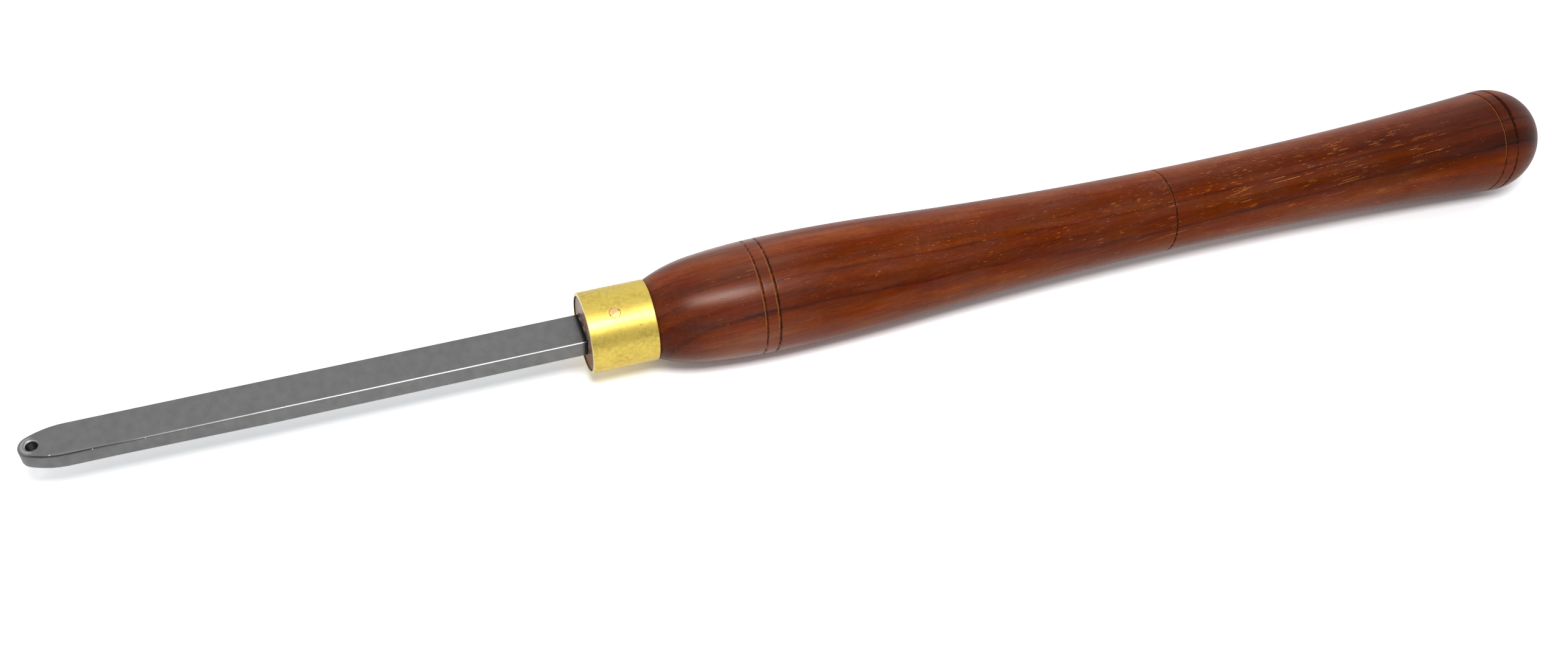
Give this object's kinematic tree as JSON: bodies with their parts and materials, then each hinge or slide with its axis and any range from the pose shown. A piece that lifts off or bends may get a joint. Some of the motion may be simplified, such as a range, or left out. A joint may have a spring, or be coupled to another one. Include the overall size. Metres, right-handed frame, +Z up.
{
  "type": "woodturning tool",
  "caption": "Lathe turning tool with a flat steel bar, a blunt nose tapped for a bolt-on cutter, a tube ferrule and a long turned wooden handle.",
  "frame": {"origin": "on the surface the tool lies on, under the middle of its box", "axes": "+X along the tool from the steel nose to the domed end of the handle, +Z up, out of the face that takes the cutter"},
  "size_m": [0.5011, 0.036, 0.036],
  "materials": {
    "bar_steel": "dark satin, ground and rubbed, with brighter worn edges",
    "handle_wood": "dark red-brown hardwood under satin varnish, with short golden flecks along the grain",
    "ferrule_brass": "satin, lightly blotched",
    "screw_brass": "filed flush, slightly redder than the ferrule"
  },
  "bodies": {
    "root": {"steel_bar": "bar_steel", "handle": "handle_wood", "ferrule": "ferrule_brass", "ferrule_screw": "screw_brass"}
  },
  "joints": []
}
